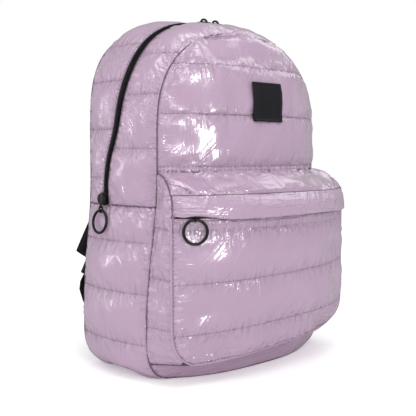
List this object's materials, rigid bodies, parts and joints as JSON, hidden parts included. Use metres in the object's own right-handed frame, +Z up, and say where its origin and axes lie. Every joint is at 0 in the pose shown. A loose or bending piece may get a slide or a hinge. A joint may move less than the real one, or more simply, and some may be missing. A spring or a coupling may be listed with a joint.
{
  "type": "quilted puffer backpack",
  "caption": "Padded, quilted nylon backpack with a domed main compartment, an arched zip, a front zip pocket under a flap, ring pulls and padded shoulder straps.",
  "frame": {"origin": "on the flat base panel, in the middle of the backpack's width and midway between the front seam and the rear seam", "axes": "+X to the right seen from the front, -Y out of the front, +Z up"},
  "size_m": [0.335, 0.2571, 0.4339],
  "materials": {
    "lilac_nylon": "coated nylon, padded and quilted, with a wet gloss",
    "black_cloth": "woven black nylon, matte",
    "black_zip": "black zip tape with moulded teeth",
    "black_webbing": "ribbed black webbing",
    "black_rubber": "moulded black rubber, satin",
    "black_metal": "cast zinc, painted black, satin",
    "black_plastic": "moulded black acetal"
  },
  "bodies": {
    "root": {"bottom_gusset": "lilac_nylon", "front_panel": "lilac_nylon", "back_panel": "black_cloth", "front_gusset": "lilac_nylon", "rear_gusset": "lilac_nylon", "side_panel_left": "lilac_nylon", "side_panel_right": "lilac_nylon", "base_panel": "black_cloth", "main_zip": "black_zip", "pocket_front": "lilac_nylon", "pocket_zip": "black_zip", "pocket_flap": "lilac_nylon", "pocket_top": "lilac_nylon", "pocket_side_right": "lilac_nylon", "pocket_side_left": "lilac_nylon", "pocket_floor": "lilac_nylon", "patch": "black_rubber", "zip_slider": "black_metal", "zip_link": "black_metal", "zip_ring": "black_metal", "crown_slider_left": "black_metal", "crown_slider_right": "black_metal", "pocket_slider": "black_metal", "pocket_ring": "black_metal", "shoulder_strap_right": "black_cloth", "strap_buckle_right": "black_plastic", "strap_webbing_right": "black_webbing", "shoulder_strap_left": "black_cloth", "strap_buckle_left": "black_plastic", "strap_webbing_left": "black_webbing"}
  },
  "joints": []
}
